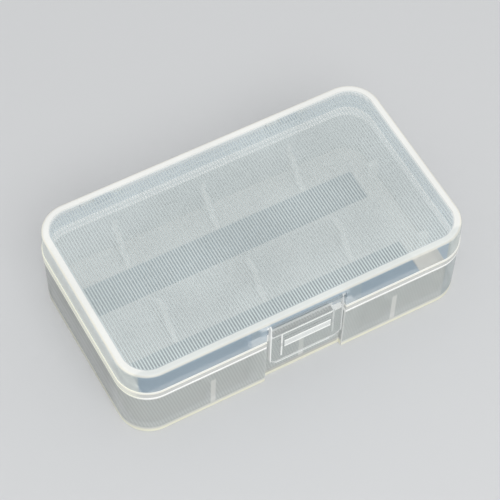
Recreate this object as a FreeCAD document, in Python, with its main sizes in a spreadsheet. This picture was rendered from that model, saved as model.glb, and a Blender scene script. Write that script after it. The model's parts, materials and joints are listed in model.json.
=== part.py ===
"""Two-cell battery case: a moulded base tray, a hinged lid, a clear front latch and two hinge pins.

Frame: +Z up, the table at Z = 0, the origin at the centre of the flat underside.
X runs along the case, the latch is at the front (-Y) and the hinge at the back (+Y).
Lengths are in millimetres.
"""
import FreeCAD, Part
import math
import os

import Sketcher
from FreeCAD import Vector

TOLERANCE = 1e-4
RIDGES = 4

SIZES = {
    # outer shell
    "case_length": 78.0,
    "case_width": 45.4,
    "case_height": 22.0,
    "corner_radius": 7.0,
    "wall_thickness": 1.5,
    # base tray
    "base_height": 14.4,
    "base_draft": 0.3,
    "floor_thickness": 1.9,
    "foot_radius": 0.6,
    # lap joint between tray and lid
    "parting_gap": 0.1,
    "lap_step": 0.65,
    "lap_clearance": 0.2,
    "lap_height": 1.7,
    "lap_headroom": 0.2,
    "band_proud": 0.2,
    "band_height": 1.6,
    # lid
    "top_thickness": 1.2,
    "rim_radius": 0.8,
    "rim_width": 1.6,
    "panel_recess": 0.2,
    "ceiling_radius": 0.6,
    # cell cradles
    "cell_diameter": 18.5,
    "cell_pitch": 20.8,
    "cradle_end_gap": 1.6,
    "cradle_depth": 0.85,
    "rib_thickness": 1.2,
    "rib_pitch": 21.0,
    "rib_height": 5.7,
    "end_rib_reach": 4.8,
    # latch
    "latch_width": 16.7,
    "latch_height": 14.05,
    "latch_thickness": 0.9,
    "latch_proud": 0.25,
    "latch_corner": 2.0,
    "latch_shoulder": 0.8,
    "latch_side_gap": 0.7,
    "frame_width": 12.2,
    "frame_height": 8.0,
    "frame_rib": 0.4,
    "frame_drop": 3.35,
    "frame_proud": 0.3,
    "grip_width": 10.6,
    "grip_height": 2.4,
    "grip_thickness": 0.25,
    "grip_drop": 6.1,
    "grip_ridge_radius": 0.2,
    # latch pivot
    "pivot_height": 19.7,
    "pivot_depth": 0.9,
    "knuckle_radius": 0.95,
    "latch_crown": 0.1,
    "trunnion_radius": 0.5,
    "trunnion_clearance": 0.06,
    "trunnion_length": 1.0,
    "trunnion_end_gap": 0.2,
    # latch recess and catch
    "lid_recess_depth": 2.15,
    "base_recess_depth": 1.55,
    "recess_wall": 1.0,
    "recess_cheek": 2.85,
    "recess_headroom": 1.4,
    "notch_width": 12.0,
    "notch_height": 1.7,
    "notch_flare": 1.4,
    "lip_height": 0.8,
    "lip_drop": 0.1,
    "lip_proud": 0.4,
    "bead_drop": 1.6,
    "bead_width": 12.0,
    "catch_clearance": 0.05,
    # hinge
    "hinge_offset": 2.2,
    "hinge_spacing": 44.0,
    "hinge_knuckle_radius": 1.7,
    "lid_knuckle_width": 4.0,
    "base_knuckle_width": 2.5,
    "knuckle_gap": 0.25,
    "pin_radius": 0.75,
    "pin_clearance": 0.05,
    "web_height": 5.5,
    "arm_height": 3.6,
}

# places worked out from the sizes
HALF_LENGTH = "params.case_length / 2"
HALF_WIDTH = "params.case_width / 2"
FRONT = "(-params.case_width / 2)"
LID_FOOT = "(params.base_height + params.parting_gap)"
CEILING = "(params.case_height - params.top_thickness)"
BAY_HALF = f"({HALF_LENGTH} - params.end_rib_reach)"
CRADLE_HALF = f"({BAY_HALF} - params.cradle_end_gap)"
RIB_TOP = "(params.floor_thickness + params.rib_height)"
CELL_AXIS = "(params.floor_thickness - params.cradle_depth + params.cell_diameter / 2)"
TONGUE_INSET = "(params.lap_step + params.lap_clearance)"
RECESS_HALF = "(params.latch_width / 2 + params.latch_side_gap)"
PAD_HALF = f"({RECESS_HALF} + params.recess_cheek)"
PAD_FACE = f"({FRONT} + params.base_recess_depth + params.recess_wall)"
LID_PAD_FACE = f"({FRONT} + params.lid_recess_depth + params.recess_wall)"
RECESS_CEILING = "(params.pivot_height + params.recess_headroom)"
PIVOT_Y = f"({FRONT} + params.pivot_depth)"
LATCH_FACE = f"({FRONT} - params.latch_proud)"
LATCH_BACK = f"({LATCH_FACE} + params.latch_thickness)"
LATCH_TOP = "(params.pivot_height + params.knuckle_radius + params.latch_crown)"
LIP_TOP = "(params.base_height - params.lip_drop)"
LIP_FACE = f"({FRONT} + params.base_recess_depth - params.lip_proud)"
HINGE_Y = "(params.case_width / 2 + params.hinge_offset)"
HINGE_Z = "params.base_height"
STATION_WIDTH = "(params.lid_knuckle_width + 2 * params.knuckle_gap + 2 * params.base_knuckle_width)"
DIAGONAL = "sqrt(0.5)"


def make_sheet(doc):
    """Spreadsheet of the driving sizes, one aliased cell each."""
    sheet = doc.addObject("Spreadsheet::Sheet", "params")
    for row, (name, value) in enumerate(SIZES.items(), start=1):
        sheet.set(f"A{row}", name)
        sheet.set(f"B{row}", str(value))
        sheet.setAlias(f"B{row}", name)
    doc.recompute()
    return sheet


class Profile:
    """Closed outlines in one sketch, each point tied to the sheet by expressions."""

    def __init__(self, sketch, sheet):
        self.sketch = sketch
        self.sheet = sheet
        self.count = 0

    def point(self, x, y):
        """Point whose coordinates are two expressions."""
        return Vector(self.sheet.evalExpression(x), self.sheet.evalExpression(y), 0)

    def drive(self, kind, *reference, size):
        """Add a constraint of this kind and bind its value to an expression."""
        value = float(self.sheet.evalExpression(size))
        index = self.sketch.addConstraint(Sketcher.Constraint(kind, *reference, value))
        self.count += 1
        name = f"size{self.count}"
        self.sketch.renameConstraint(index, name)
        self.sketch.setExpression(f"Constraints.{name}", size)

    def relate(self, kind, *reference):
        """Add a constraint that has no value."""
        self.sketch.addConstraint(Sketcher.Constraint(kind, *reference))

    def polygon(self, corners):
        """Straight-sided outline through the corners, given as pairs of expressions."""
        points = [self.point(x, y) for x, y in corners]
        lines = []
        for here, there in zip(points, points[1:] + points[:1]):
            lines.append(self.sketch.addGeometry(Part.LineSegment(here, there), False))
        for line, after, (x, y) in zip(lines, lines[1:] + lines[:1], corners):
            self.relate("Coincident", line, 2, after, 1)
            self.drive("DistanceX", -1, 1, line, 1, size=x)
            self.drive("DistanceY", -1, 1, line, 1, size=y)

    def rectangle(self, x_low, x_high, y_low, y_high):
        """Upright rectangle between two pairs of expressions."""
        self.polygon([(x_low, y_low), (x_high, y_low), (x_high, y_high), (x_low, y_high)])

    def circle(self, x, y, radius):
        """Circle about a point, all three given as expressions."""
        centre = self.point(x, y)
        size = self.sheet.evalExpression(radius)
        index = self.sketch.addGeometry(Part.Circle(centre, Vector(0, 0, 1), size), False)
        self.drive("Radius", index, size=radius)
        self.drive("DistanceX", -1, 1, index, 3, size=x)
        self.drive("DistanceY", -1, 1, index, 3, size=y)

    def rounded_outline(self, inset, radius):
        """The case's outline in plan, moved inwards by the inset, with round corners."""
        half_x = f"({HALF_LENGTH} - {inset})"
        half_y = f"({HALF_WIDTH} - {inset})"
        far = self.point(half_x, half_y)
        bend = float(self.sheet.evalExpression(radius))
        near = Vector(far.x - bend, far.y - bend, 0)
        quarter = math.pi / 2
        lines = []
        arcs = []
        for turn in range(4):
            spin = FreeCAD.Rotation(Vector(0, 0, 1), 90 * turn)
            flat = Vector(far.x, near.y, 0) if turn % 2 == 0 else Vector(far.y, near.x, 0)
            side = Part.LineSegment(
                spin.multVec(Vector(flat.x, -flat.y, 0)),
                spin.multVec(flat),
            )
            centre = spin.multVec(Vector(flat.x - bend, flat.y, 0))
            circle = Part.Circle(centre, Vector(0, 0, 1), bend)
            corner = Part.ArcOfCircle(circle, quarter * turn, quarter * (turn + 1))
            lines.append(self.sketch.addGeometry(side, False))
            arcs.append(self.sketch.addGeometry(corner, False))
        for turn in range(4):
            self.relate("Tangent", lines[turn], 2, arcs[turn], 1)
            self.relate("Tangent", arcs[turn], 2, lines[(turn + 1) % 4], 1)
            self.relate("Vertical" if turn % 2 == 0 else "Horizontal", lines[turn])
        for arc in arcs[1:]:
            self.relate("Equal", arcs[0], arc)
        self.drive("Radius", arcs[0], size=radius)
        self.drive("DistanceX", -1, 1, lines[0], 2, size=half_x)
        self.drive("DistanceY", -1, 1, lines[1], 2, size=half_y)
        self.drive("DistanceX", -1, 1, lines[2], 2, size=f"-{half_x}")
        self.drive("DistanceY", -1, 1, lines[3], 2, size=f"-{half_y}")


class Moulding:
    """A body built from prisms, drafts and fillets that are bound to the sheet."""

    def __init__(self, doc, sheet, label):
        self.doc = doc
        self.sheet = sheet
        self.body = doc.addObject("PartDesign::Body", label)
        self.body.Label = label
        self.volume = 0.0

    def sketch(self, name, plane, offset):
        """Sketch on one of the body's own origin planes, moved along its normal."""
        role = f"{plane}_Plane"
        support = next(item for item in self.body.Origin.OriginFeatures if item.Role == role)
        sketch = self.body.newObject("Sketcher::SketchObject", f"{name}_sketch")
        sketch.AttachmentSupport = [(support, "")]
        sketch.MapMode = "FlatFace"
        sketch.setExpression("AttachmentOffset.Base.z", offset)
        return sketch

    def prism(self, kind, name, plane, low, high, draw):
        """Extrude what draw puts in the sketch, from low to high along the plane's axis."""
        start = f"-({high})" if plane == "XZ" else low
        sketch = self.sketch(name, plane, start)
        draw(Profile(sketch, self.sheet))
        feature = self.body.newObject(f"PartDesign::{kind}", name)
        feature.Profile = sketch
        feature.Reversed = kind == "Pocket"
        feature.setExpression("Length", f"({high}) - ({low})")
        self.settle(feature, adds=kind == "Pad")

    def add(self, name, plane, low, high, draw):
        """Prism that adds material."""
        self.prism("Pad", name, plane, low, high, draw)

    def cut(self, name, plane, low, high, draw):
        """Prism that takes material away."""
        self.prism("Pocket", name, plane, low, high, draw)

    def draft(self, name, low, high, outwards):
        """Slope the upright faces between two heights, about the top of the body so far."""
        base = self.body.Tip
        span = (self.sheet.evalExpression(low), self.sheet.evalExpression(high))
        upright = [
            f"Face{i}" for i, face in enumerate(base.Shape.Faces, start=1)
            if same(face.BoundBox.ZMin, span[0]) and same(face.BoundBox.ZMax, span[1])
        ]
        top = [
            f"Face{i}" for i, face in enumerate(base.Shape.Faces, start=1)
            if level(face.BoundBox, span[1])
        ]
        feature = self.body.newObject("PartDesign::Draft", name)
        feature.Base = (base, upright)
        feature.NeutralPlane = (base, top[:1])
        feature.Reversed = outwards
        feature.setExpression("Angle", "atan(params.base_draft / params.base_height)")
        self.settle(feature, adds=not outwards)

    def fillet(self, name, radius, wanted):
        """Round every edge of the body so far that the test accepts."""
        base = self.body.Tip
        names = [f"Edge{i}" for i, edge in enumerate(base.Shape.Edges, start=1) if wanted(edge)]
        if not names:
            raise ValueError(f"{name}: no edge to round")
        feature = self.body.newObject("PartDesign::Fillet", name)
        feature.Base = (base, names)
        feature.setExpression("Radius", radius)
        self.settle(feature, adds=None)

    def settle(self, feature, adds):
        """Recompute, and stop if the feature failed or changed the volume the wrong way."""
        before = self.volume
        self.doc.recompute()
        if "Up-to-date" not in feature.State:
            raise ValueError(f"{feature.Label}: {feature.State}")
        self.volume = feature.Shape.Volume
        if adds is True and self.volume <= before:
            raise ValueError(f"{feature.Label} adds nothing")
        if adds is False and self.volume >= before:
            raise ValueError(f"{feature.Label} cuts nothing")


def same(one, other):
    """True for two lengths that agree within the tolerance."""
    return abs(one - other) < TOLERANCE


def level(box, height):
    """True for a box that is flat and lies at this height."""
    return same(box.ZMin, height) and same(box.ZMax, height)


def level_edge(height):
    """Test for edges that lie flat at this height."""
    return lambda edge: level(edge.BoundBox, height)


def make_base_tray(doc, sheet):
    """Open tray with drafted walls, cell cradles, lap tongue, latch recess and hinge knuckles."""
    tray = Moulding(doc, sheet, "base_tray")
    tray.add(
        "tray_shell", "XY", "0", "params.base_height",
        lambda plan: plan.rounded_outline("0", "params.corner_radius"),
    )
    tray.draft("wall_slope", "0", "params.base_height", outwards=True)
    tray.fillet("foot_round", "params.foot_radius", level_edge(0))
    tray.cut(
        "tray_cavity", "XY", "params.floor_thickness", "params.base_height",
        lambda plan: plan.rounded_outline(
            "params.wall_thickness", "params.corner_radius - params.wall_thickness"
        ),
    )
    tray.draft("cavity_slope", "params.floor_thickness", "params.base_height", outwards=False)
    in_wall = "(params.base_draft + params.wall_thickness / 2)"
    in_floor = "params.floor_thickness / 2"
    tray.add(
        "latch_pad", "XY", in_floor, "params.base_height",
        lambda plan: plan.rectangle(f"-{PAD_HALF}", PAD_HALF, f"{FRONT} + {in_wall}", PAD_FACE),
    )
    add_cradle_ribs(tray, in_wall, in_floor)
    tray.cut(
        "cell_cradles", "YZ", f"-{CRADLE_HALF}", CRADLE_HALF,
        lambda side: [
            side.circle(f"{sign}params.cell_pitch / 2", CELL_AXIS, "params.cell_diameter / 2")
            for sign in ("-", "")
        ],
    )
    add_tongue(tray)
    tray.cut(
        "latch_recess", "XY", "-params.wall_thickness", "params.base_height + params.wall_thickness",
        lambda plan: plan.rectangle(
            f"-{RECESS_HALF}", RECESS_HALF,
            f"{FRONT} - params.wall_thickness", f"{FRONT} + params.base_recess_depth",
        ),
    )
    lip_root = f"{FRONT} + params.base_recess_depth + params.recess_wall / 2"
    tray.add(
        "catch_lip", "YZ", f"-{RECESS_HALF}", RECESS_HALF,
        lambda side: side.polygon([
            (lip_root, f"{LIP_TOP} - params.lip_height"),
            (LIP_FACE, f"{LIP_TOP} - params.lip_height / 2"),
            (LIP_FACE, LIP_TOP),
            (lip_root, LIP_TOP),
        ]),
    )
    add_base_knuckles(tray)
    return tray.body


def add_cradle_ribs(tray, in_wall, in_floor):
    """Cross ribs that carry the cells, and end ribs that stop them lengthwise."""
    thick = "params.rib_thickness / 2"
    reach = f"({HALF_WIDTH} - {in_wall})"
    for number, place in enumerate(("-params.rib_pitch", "0", "params.rib_pitch"), start=1):
        tray.add(
            f"cross_rib{number}", "XY", in_floor, RIB_TOP,
            lambda plan: plan.rectangle(
                f"{place} - {thick}", f"{place} + {thick}", f"-{reach}", reach
            ),
        )
    ends = {
        "left": (f"-({HALF_LENGTH} - {in_wall})", f"-{BAY_HALF}"),
        "right": (BAY_HALF, f"{HALF_LENGTH} - {in_wall}"),
    }
    for side, (x_low, x_high) in ends.items():
        for row, axis in (("front", "-params.cell_pitch / 2"), ("back", "params.cell_pitch / 2")):
            tray.add(
                f"{side}_{row}_end_rib", "XY", in_floor, RIB_TOP,
                lambda plan: plan.rectangle(
                    x_low, x_high, f"{axis} - {thick}", f"{axis} + {thick}"
                ),
            )


def add_tongue(tray):
    """Lip that stands up inside the lid all round, except behind the latch."""
    top = "params.base_height + params.lap_height"

    def ring(plan):
        plan.rounded_outline(TONGUE_INSET, f"params.corner_radius - {TONGUE_INSET}")
        plan.rounded_outline("params.wall_thickness", "params.corner_radius - params.wall_thickness")

    tray.add("lap_tongue", "XY", "params.base_height", top, ring)
    gap = f"({PAD_HALF} + params.lap_clearance)"
    tray.cut(
        "tongue_gap", "XY", "params.base_height", f"{top} + params.wall_thickness",
        lambda plan: plan.rectangle(
            f"-{gap}", gap, FRONT, f"{FRONT} + 2 * params.wall_thickness"
        ),
    )


def add_base_knuckles(tray):
    """Two knuckles at each hinge station, each on a web from the back wall, bored for the pin."""
    wall = f"({HALF_WIDTH} - params.wall_thickness / 2)"
    corner = f"params.hinge_knuckle_radius * {DIAGONAL}"
    inner = "(params.lid_knuckle_width / 2 + params.knuckle_gap)"
    for number, station in enumerate(("-params.hinge_spacing / 2", "params.hinge_spacing / 2"), 1):
        spans = {
            "a": (f"{station} - {inner} - params.base_knuckle_width", f"{station} - {inner}"),
            "b": (f"{station} + {inner}", f"{station} + {inner} + params.base_knuckle_width"),
        }
        for letter, (low, high) in spans.items():
            tray.add(
                f"hinge_web{number}{letter}", "YZ", low, high,
                lambda side: side.polygon([
                    (wall, f"{HINGE_Z} - params.web_height"),
                    (f"{HINGE_Y} + {corner}", f"{HINGE_Z} - {corner}"),
                    (HINGE_Y, HINGE_Z),
                    (wall, HINGE_Z),
                ]),
            )
            tray.add(
                f"hinge_knuckle{number}{letter}", "YZ", low, high,
                lambda side: side.circle(HINGE_Y, HINGE_Z, "params.hinge_knuckle_radius"),
            )
    bore_pins(tray, "params.pin_radius")


def bore_pins(moulding, radius):
    """Bore for both hinge pins, right along the hinge axis."""
    reach = f"(params.hinge_spacing / 2 + {STATION_WIDTH})"
    moulding.cut(
        "pin_bore", "YZ", f"-{reach}", reach,
        lambda side: side.circle(HINGE_Y, HINGE_Z, radius),
    )


def make_lid(doc, sheet):
    """Lid with a thickened skirt edge, a sunk top panel, a latch recess and hinge knuckles."""
    lid = Moulding(doc, sheet, "hinged_lid")
    lid.add(
        "lid_shell", "XY", LID_FOOT, "params.case_height",
        lambda plan: plan.rounded_outline("0", "params.corner_radius"),
    )
    lid.add(
        "skirt_band", "XY", LID_FOOT, f"{LID_FOOT} + params.band_height",
        lambda plan: plan.rounded_outline(
            "-params.band_proud", "params.corner_radius + params.band_proud"
        ),
    )
    lid.fillet("rim_round", "params.rim_radius", level_edge(sheet.case_height))
    lid.cut(
        "lid_cavity", "XY", LID_FOOT, CEILING,
        lambda plan: plan.rounded_outline(
            "params.wall_thickness", "params.corner_radius - params.wall_thickness"
        ),
    )
    lid.fillet("ceiling_round", "params.ceiling_radius", level_edge(sheet.evalExpression(CEILING)))
    lid.cut(
        "lap_step", "XY", LID_FOOT,
        "params.base_height + params.lap_height + params.lap_headroom",
        lambda plan: plan.rounded_outline("params.lap_step", "params.corner_radius - params.lap_step"),
    )
    lid.cut(
        "top_panel", "XY", "params.case_height - params.panel_recess",
        "params.case_height + params.panel_recess",
        lambda plan: plan.rounded_outline(
            "params.rim_width", "params.corner_radius - params.rim_width"
        ),
    )
    add_latch_seat(lid)
    add_lid_knuckles(lid)
    return lid.body


def add_latch_seat(lid):
    """Recess for the latch, the wall behind it, the bearing holes and the notch at its foot."""
    lid.add(
        "latch_pad", "XY", LID_FOOT, f"{CEILING} + params.top_thickness / 2",
        lambda plan: plan.rectangle(
            f"-{PAD_HALF}", PAD_HALF, f"{FRONT} + params.lap_step / 2", LID_PAD_FACE
        ),
    )
    lid.cut(
        "latch_recess", "XY", f"{LID_FOOT} - params.wall_thickness", RECESS_CEILING,
        lambda plan: plan.rectangle(
            f"-{RECESS_HALF}", RECESS_HALF,
            f"{FRONT} - params.wall_thickness", f"{FRONT} + params.lid_recess_depth",
        ),
    )
    half = "params.notch_width / 2"
    lid.cut(
        "latch_notch", "XZ", FRONT, f"{LID_PAD_FACE} + params.wall_thickness",
        lambda face: face.polygon([
            (f"-{half} - params.notch_flare", LID_FOOT),
            (f"{half} + params.notch_flare", LID_FOOT),
            (half, f"{LID_FOOT} + params.notch_height"),
            (f"-{half}", f"{LID_FOOT} + params.notch_height"),
        ]),
    )
    reach = f"({RECESS_HALF} + params.trunnion_length + params.trunnion_end_gap)"
    lid.cut(
        "trunnion_holes", "YZ", f"-{reach}", reach,
        lambda side: side.circle(
            PIVOT_Y, "params.pivot_height", "params.trunnion_radius + params.trunnion_clearance"
        ),
    )


def add_lid_knuckles(lid):
    """One knuckle at each hinge station, on an arm from the lid's back wall."""
    wall = f"({HALF_WIDTH} - params.lap_step / 2)"
    corner = f"params.hinge_knuckle_radius * {DIAGONAL}"
    half = "params.lid_knuckle_width / 2"
    for number, station in enumerate(("-params.hinge_spacing / 2", "params.hinge_spacing / 2"), 1):
        low = f"{station} - {half}"
        high = f"{station} + {half}"
        lid.add(
            f"hinge_arm{number}", "YZ", low, high,
            lambda side: side.polygon([
                (wall, LID_FOOT),
                (HINGE_Y, LID_FOOT),
                (f"{HINGE_Y} + {corner}", f"{HINGE_Z} + {corner}"),
                (wall, f"{HINGE_Z} + params.arm_height"),
            ]),
        )
        lid.add(
            f"hinge_knuckle{number}", "YZ", low, high,
            lambda side: side.circle(HINGE_Y, HINGE_Z, "params.hinge_knuckle_radius"),
        )
    bore_pins(lid, "params.pin_radius + params.pin_clearance")


def make_latch(doc, sheet):
    """Clear flap with a hinge bar and trunnions at its top, a catch bead and a ridged grip."""
    latch = Moulding(doc, sheet, "front_latch")
    half = "params.latch_width / 2"
    foot = f"({LATCH_TOP} - params.latch_height)"
    latch.add(
        "flap", "XZ", LATCH_FACE, LATCH_BACK,
        lambda face: face.rectangle(f"-{half}", half, foot, LATCH_TOP),
    )

    def corner_at(height):
        """Test for the flap's corner edges, which run front to back, at this height."""
        def wanted(edge):
            return level(edge.BoundBox, height) and edge.BoundBox.YLength > TOLERANCE
        return wanted

    top = sheet.evalExpression(LATCH_TOP)
    face_y = sheet.evalExpression(LATCH_FACE)
    latch.fillet("foot_corners", "params.latch_corner", corner_at(sheet.evalExpression(foot)))
    latch.fillet(
        "crown_round", "params.latch_shoulder",
        lambda edge: level(edge.BoundBox, top) and same(edge.BoundBox.YMax, face_y),
    )
    latch.add(
        "hinge_bar", "YZ", f"-{half}", half,
        lambda side: side.circle(PIVOT_Y, "params.pivot_height", "params.knuckle_radius"),
    )
    reach = f"({RECESS_HALF} + params.trunnion_length)"
    latch.add(
        "trunnions", "YZ", f"-{reach}", reach,
        lambda side: side.circle(PIVOT_Y, "params.pivot_height", "params.trunnion_radius"),
    )
    latch.add(
        "catch_bead", "YZ", "-params.bead_width / 2", "params.bead_width / 2",
        lambda side: side.circle(
            LATCH_BACK, "params.base_height - params.bead_drop",
            f"{LIP_FACE} - params.catch_clearance - {LATCH_BACK}",
        ),
    )
    add_latch_relief(latch)
    return latch.body


def add_latch_relief(latch):
    """Raised frame on the flap's face, and a ridged thumb grip inside it."""
    outer = "(params.frame_width / 2)"
    inner = "(params.frame_width / 2 - params.frame_rib)"
    high = f"({LATCH_TOP} - params.frame_drop)"
    latch.add(
        "relief_frame", "XZ", f"{LATCH_FACE} - params.frame_proud", LATCH_FACE,
        lambda face: face.polygon([
            (f"-{outer}", f"{high} - params.frame_height"),
            (f"-{inner}", f"{high} - params.frame_height"),
            (f"-{inner}", f"{high} - params.frame_rib"),
            (inner, f"{high} - params.frame_rib"),
            (inner, f"{high} - params.frame_height"),
            (outer, f"{high} - params.frame_height"),
            (outer, high),
            (f"-{outer}", high),
        ]),
    )
    half = "params.grip_width / 2"
    grip_top = f"({LATCH_TOP} - params.grip_drop)"
    grip_face = f"({LATCH_FACE} - params.grip_thickness)"
    latch.add(
        "grip_pad", "XZ", grip_face, LATCH_FACE,
        lambda face: face.rectangle(
            f"-{half}", half, f"{grip_top} - params.grip_height", grip_top
        ),
    )
    latch.add(
        "grip_ridges", "YZ", f"-{half}", half,
        lambda side: [
            side.circle(
                grip_face, f"{grip_top} - params.grip_height * {(number + 0.5) / RIDGES}",
                "params.grip_ridge_radius",
            )
            for number in range(RIDGES)
        ],
    )


def make_hinge_pin(doc, sheet, label, station):
    """Straight pin through the three knuckles of one hinge station."""
    pin = Moulding(doc, sheet, label)
    pin.add(
        "pin", "YZ", f"{station} - {STATION_WIDTH} / 2", f"{station} + {STATION_WIDTH} / 2",
        lambda side: side.circle(HINGE_Y, HINGE_Z, "params.pin_radius"),
    )
    return pin.body


def check(doc, bodies):
    """Stop if any object failed, or if a body isn't one valid solid."""
    doc.recompute()
    for item in doc.Objects:
        if "Invalid" in item.State or "Error" in item.State:
            raise ValueError(f"{item.Label}: {item.State}")
    for body in bodies:
        shape = body.Shape
        if shape.isNull() or not shape.isValid() or len(shape.Solids) != 1:
            raise ValueError(f"{body.Label} isn't one valid solid")


def main():
    """Build the document, check it and write one STEP file for each piece."""
    doc = FreeCAD.newDocument("battery_case")
    sheet = make_sheet(doc)
    bodies = [
        make_base_tray(doc, sheet),
        make_lid(doc, sheet),
        make_latch(doc, sheet),
        make_hinge_pin(doc, sheet, "hinge_pin_left", "-params.hinge_spacing / 2"),
        make_hinge_pin(doc, sheet, "hinge_pin_right", "params.hinge_spacing / 2"),
    ]
    check(doc, bodies)
    os.makedirs("parts", exist_ok=True)
    for body in bodies:
        body.Shape.exportStep(f"parts/{body.Label}.step")
        box = body.Shape.BoundBox
        print(
            f"{body.Label}: {body.Shape.Volume:.1f} mm3,"
            f" X {box.XMin:.2f}..{box.XMax:.2f}, Y {box.YMin:.2f}..{box.YMax:.2f},"
            f" Z {box.ZMin:.2f}..{box.ZMax:.2f}"
        )


main()
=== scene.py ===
"""Battery case: finishes, fine moulded lines, stage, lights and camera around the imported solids.

Lengths are in metres in the row's frame: +Z up, X along the case, the latch at -Y and the hinge at +Y.
"""
import json
import logging
import math
from dataclasses import dataclass, field
from enum import Enum

import bpy
from bpy.types import Material, Node, NodeSocket, NodeTree, Object
from mathutils import Matrix, Vector

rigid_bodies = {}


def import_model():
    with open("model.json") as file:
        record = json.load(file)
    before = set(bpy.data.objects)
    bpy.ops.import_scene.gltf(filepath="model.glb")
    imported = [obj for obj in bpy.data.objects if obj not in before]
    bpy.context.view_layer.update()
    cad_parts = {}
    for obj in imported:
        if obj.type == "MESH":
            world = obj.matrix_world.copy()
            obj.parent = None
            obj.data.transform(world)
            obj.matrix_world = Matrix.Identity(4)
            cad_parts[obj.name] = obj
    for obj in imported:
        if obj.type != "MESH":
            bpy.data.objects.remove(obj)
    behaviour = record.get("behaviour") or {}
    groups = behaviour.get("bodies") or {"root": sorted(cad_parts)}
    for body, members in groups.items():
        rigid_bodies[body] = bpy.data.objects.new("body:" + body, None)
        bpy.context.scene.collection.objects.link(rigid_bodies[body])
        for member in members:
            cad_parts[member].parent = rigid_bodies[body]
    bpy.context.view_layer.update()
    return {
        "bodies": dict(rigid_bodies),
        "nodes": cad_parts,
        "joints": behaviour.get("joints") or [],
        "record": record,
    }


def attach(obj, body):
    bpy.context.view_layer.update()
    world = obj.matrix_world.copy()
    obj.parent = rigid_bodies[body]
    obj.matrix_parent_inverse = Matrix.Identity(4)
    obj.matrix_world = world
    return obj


LOG = logging.getLogger("battery_case")
MM = 0.001
PLASTIC_IOR = 1.49
LIGHT_SHARE = 0.5  # how much of a clear wall's veil the rays that carry light meet
CLEAR_LAYERS = 32  # how many clear faces one ray may pass
RIDGE_SIDES = 8
BEAD_SIDES = 12
CORNER_STEPS = 12
SOCKET_KINDS = {"Geometry": "NodeSocketGeometry", "Finish": "NodeSocketMaterial"}
RIDGE_SIZES = ("Half Length", "Half Width", "Corner Radius", "Centre Y", "Level", "Pitch", "Width", "Height")
Colour = tuple[float, float, float]
Band = tuple[float, float, float]
Fade = tuple[float, float]
Input = NodeSocket | float | tuple
Spot = tuple[NodeSocket, NodeSocket, NodeSocket]


class Body(Enum):
    """The rigid bodies that pieces ride on."""

    BASE = "base"
    LID = "lid"
    LATCH = "latch"


class Slot(Enum):
    """The record's material slots, as named on the pieces made here."""

    TRAY = "milky_plastic"
    LID = "frosted_plastic"
    LATCH = "clear_plastic"


def span(low: float, high: float, soft: float = 0.05) -> Band:
    """State a band of lengths in millimetres: its start, its end and the width of its soft edges."""
    return low * MM, high * MM, soft * MM


def fade(start: float, end: float) -> Fade:
    """State in millimetres where a gradual change starts and ends."""
    return start * MM, end * MM


def scaled(colour: Colour, share: float) -> Colour:
    """Make a plain colour paler or darker."""
    return tuple(min(1.0, part * share) for part in colour)


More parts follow.
